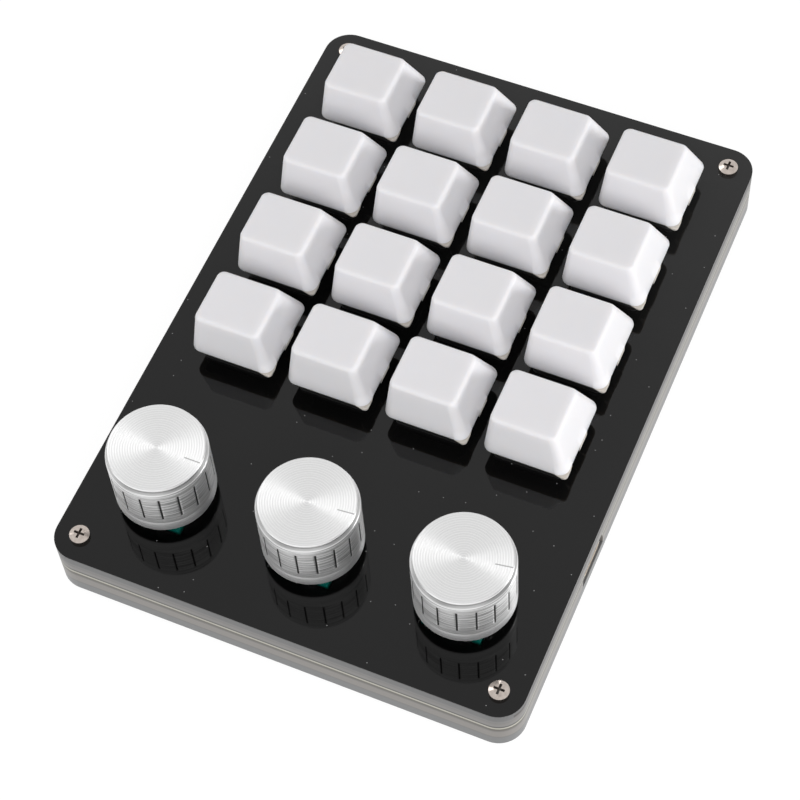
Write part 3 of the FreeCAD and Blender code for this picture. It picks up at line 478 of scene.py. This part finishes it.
def knob_angles():
    """Angles round the knob, each with whether it is in a groove."""
    half = GROOVE_WIDE / 2 / KNOB_FOOT
    wall = GROOVE_WALL / KNOB_FOOT
    pitch = 2 * pi / GROOVES
    rest = pitch - 2 * (half + wall)
    angles = []
    for groove in range(GROOVES):
        middle = groove * pitch
        angles += [(middle - half - wall, False), (middle - half, True), (middle, True), (middle + half, True),
                   (middle + half + wall, False)]
        angles += [(middle + half + wall + rest * step / LAND_STEPS, False) for step in range(1, LAND_STEPS)]
    return angles


def knob_mesh(tall):
    """The turned shell: side with grooves over a plain band, shoulder, neck and top face."""
    shoulder = tall - NECK_TALL
    groove_top = GROOVE_FOOT + GROOVE_TALL
    # Radius, height and whether the grooves cut in there, from the hollow round to the top face
    profile = [(6.6, 4.0, False), (6.6, 0.0, False), (9.65, 0.0, False), (9.9, 0.08, False), (10.0, 0.35, False),
               (10.0, 2.9, False), (9.95, 3.0, False), (10.0, 3.1, False)]
    profile = [(out * MM, high * MM, groovy) for out, high, groovy in profile]
    profile += [(KNOB_FOOT, GROOVE_FOOT - GROOVE_GUARD, False), (KNOB_FOOT, GROOVE_FOOT - GROOVE_END, False),
                (KNOB_FOOT, GROOVE_FOOT, True), (KNOB_FOOT, groove_top, True),
                (KNOB_FOOT, groove_top + GROOVE_END, False), (KNOB_FOOT, groove_top + GROOVE_GUARD, False),
                (KNOB_FOOT, shoulder - 0.35 * MM, False), (KNOB_FOOT - 0.06 * MM, shoulder - 0.12 * MM, False),
                (KNOB_FOOT - 0.2 * MM, shoulder, False), (KNOB_NECK + 0.05 * MM, shoulder, False),
                (KNOB_NECK, shoulder + 0.05 * MM, False), (KNOB_FACE - 0.02 * MM, tall - 0.4 * MM, False),
                (KNOB_FACE, tall - 0.25 * MM, False), (KNOB_FACE - 0.06 * MM, tall - 0.08 * MM, False),
                (KNOB_FACE - 0.2 * MM, tall, False), (KNOB_FACE - 0.45 * MM, tall, False)]
    angles = knob_angles()
    build = bmesh.new()
    rings = []
    for out, high, groovy in profile:
        points = []
        for angle, inside in angles:
            reach = out - GROOVE_DEEP if groovy and inside else out
            points.append((reach * cos(angle), reach * sin(angle)))
        rings.append(ring_of(build, points, high))
    for number, (low, high) in enumerate(zip(rings, rings[1:])):
        faces = bridge(build, low, high, 1 if high is rings[-1] else 0)
        # Faces along the grooves take the groove shade: painted shade, near-black moulding in place of the metal
        if profile[number][2] or profile[number + 1][2]:
            for face, here, after in zip(faces, angles, angles[1:] + angles[:1]):
                if here[1] or after[1]:
                    face.material_index = 2
                    face.smooth = False
    build.faces.new(rings[-1]).material_index = 1
    return finished(build, "knob_shell")


def make_knobs():
    # The groove shade is painted shade inside the grooves
    materials = [turned_side(), turned_face(), moulded("groove shade", grey(0.03), 0.6)]
    low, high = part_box("knob_1")
    mesh = knob_mesh(high.z - low.z)
    for number, turn in enumerate(LINE_TURNS, 1):
        low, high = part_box("knob_%d" % number)
        knob = object_of("knob_shell_%d" % number, mesh, materials)
        knob.location = ((low.x + high.x) / 2, (low.y + high.y) / 2, low.z)
        knob.rotation_euler.z = radians(turn)
        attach(knob, "dial_%d" % number)
        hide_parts("knob_%d" % number)


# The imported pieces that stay

# Bands of each sheet's sawn side, from its top down
BANDS = {
    "upper_spacer": [(0.0, grey(0.15, 0.05)), (0.12, grey(0.17, 0.05)), (0.45, grey(0.20, 0.05)),
                     (0.7, grey(0.19, 0.04)), (0.82, grey(0.05, 0.04)), (1.0, grey(0.03, 0.04))],
    "pcb": [(0.0, (0.10, 0.09, 0.07)), (0.08, (0.54, 0.52, 0.44)), (0.34, (0.54, 0.52, 0.44)),
            (0.44, (0.08, 0.07, 0.05)), (0.8, (0.09, 0.08, 0.06)), (1.0, grey(0.14, 0.06))],
    "lower_spacer": [(0.0, grey(0.13, 0.07)), (0.15, grey(0.22, 0.08)), (0.85, grey(0.22, 0.08)),
                     (1.0, grey(0.14, 0.05))],
    "bottom_plate": [(0.0, grey(0.13, 0.01)), (0.12, grey(0.17, -0.01)), (1.0, grey(0.18, -0.02))],
}


def dress(material, *names):
    for name in names:
        mesh = nodes[name].data
        mesh.materials.clear()
        mesh.materials.append(material)


def dress_nodes():
    dress(black_sheet(), "top_plate")
    for node, stops in BANDS.items():
        dress(hazy_sheet(node + "_side", node, stops), node)
    dress(screw_metal(), "case_screws")
    dress(metal("steel", grey(0.6), 0.3), "case_nuts", "key_springs")
    dress(moulded("foot rubber", grey(0.02), 0.7), "rubber_feet")
    dress(moulded("black moulding", grey(0.02), 0.45), "diodes", "controller_chip")
    dress(moulded("switch moulding", grey(0.012), 0.35), "switch_bases")
    dress(moulded("smoky switch cover", grey(0.03), 0.25), "switch_covers")
    dress(metal("bright shell", (0.90, 0.82, 0.72), 0.3, 0.5), "usb_socket")
    dress(metal("plated contact", (0.85, 0.65, 0.35), 0.25), "switch_contacts", "push_domes")
    dress(moulded("green moulding", (0.0, 0.10, 0.08), 0.4), "encoder_bases")
    dress(metal("bushing metal", grey(0.7), 0.3), "encoder_bushings")
    stems = ["key_stem_r%dc%d" % (row + 1, column + 1) for row in range(ROWS) for column in range(COLUMNS)]
    rotors = ["encoder_rotor_%d" % (number + 1) for number in range(KNOBS)]
    dress(moulded("grey moulding", grey(0.4), 0.4), *stems, *rotors)
    dress(metal("shaft metal", grey(0.75), 0.25), *["encoder_shaft_%d" % (number + 1) for number in range(KNOBS)])


# Stage, lamps and camera

AMBIENT = 0.45
# Name, place, width, power and whether metal and gloss show the lamp
LAMPS = (("right_light", (0.95, 0.35, 0.11), 0.25, 4.6, True),
         ("front_light", (0.36, -0.66, 0.66), 0.6, 5.2, False),
         ("left_light", (-0.78, 0.22, 0.60), 0.5, 1.5, True))
FLOOR_REACH = 3.0
CAMERA_PLACE = (0.1133, -0.2286, 0.4130)
CAMERA_TURN = (0.495133, 0.241115, 0.330830)
FOCAL_PIXELS = 2338.8
IMAGE_PIXELS = 800
SENSOR_WIDE = 36.0


def seen_directly(tree):
    """1 for rays from the camera and for those that a shiny or clear surface sends on."""
    path = add(tree, "ShaderNodeLightPath").outputs
    either = maths(tree, "MAXIMUM", path["Is Camera Ray"], path["Is Glossy Ray"])
    return maths(tree, "MAXIMUM", either, path["Is Transmission Ray"])


def set_world():
    world = bpy.data.worlds.new("studio")
    bpy.context.scene.world = world
    world.use_nodes = True
    tree = world.node_tree
    put(tree, tree.nodes["Background"], Color=(1.0, 1.0, 1.0),
        Strength=maths(tree, "MULTIPLY_ADD", seen_directly(tree), 1 - AMBIENT, AMBIENT))


def make_floor():
    """A white floor that the camera sees lit by its own glow, less the object's faint shadow."""
    build = bmesh.new()
    build.faces.new([build.verts.new((across * FLOOR_REACH, back * FLOOR_REACH, 0.0))
                     for across, back in ((-1, -1), (1, -1), (1, 1), (-1, 1))])
    material, tree, shader = new_material("white floor")
    put(tree, shader, Base_Color=grey(0.16), Roughness=0.9, Specular_IOR_Level=0.0)
    glow = put(tree, add(tree, "ShaderNodeEmission"), Color=(1.0, 1.0, 1.0), Strength=0.9)
    both = add(tree, "ShaderNodeAddShader")
    plain = put(tree, add(tree, "ShaderNodeBsdfDiffuse"), Color=grey(0.8))
    choice = add(tree, "ShaderNodeMixShader")
    sources = (glow.outputs[0], shader.outputs[0], seen_directly(tree), plain.outputs[0], both.outputs[0])
    for socket, source in zip((*both.inputs, *choice.inputs), sources):
        feed(tree, socket, source)
    feed(tree, tree.nodes["Material Output"].inputs["Surface"], choice.outputs[0])
    object_of("floor", finished(build, "floor"), [material])


def hang_lamps():
    for name, place, size, power, shown in LAMPS:
        data = bpy.data.lights.new(name, "AREA")
        data.size = size
        data.energy = power
        lamp = bpy.data.objects.new(name, data)
        lamp.location = place
        lamp.rotation_euler = (-Vector(place)).to_track_quat("-Z", "Y").to_euler()
        lamp.visible_glossy = shown
        bpy.context.scene.collection.objects.link(lamp)


def set_camera():
    data = bpy.data.cameras.new("camera")
    data.sensor_width = SENSOR_WIDE
    data.lens = FOCAL_PIXELS * SENSOR_WIDE / IMAGE_PIXELS
    data.clip_start = 0.01
    camera = bpy.data.objects.new("camera", data)
    camera.rotation_mode = "ZYX"
    camera.rotation_euler = CAMERA_TURN
    camera.location = CAMERA_PLACE
    bpy.context.scene.collection.objects.link(camera)
    bpy.context.scene.camera = camera


dress_nodes()
make_keycaps()
make_knobs()
set_world()
make_floor()
hang_lamps()
set_camera()
bpy.context.scene.view_settings.view_transform = "Standard"
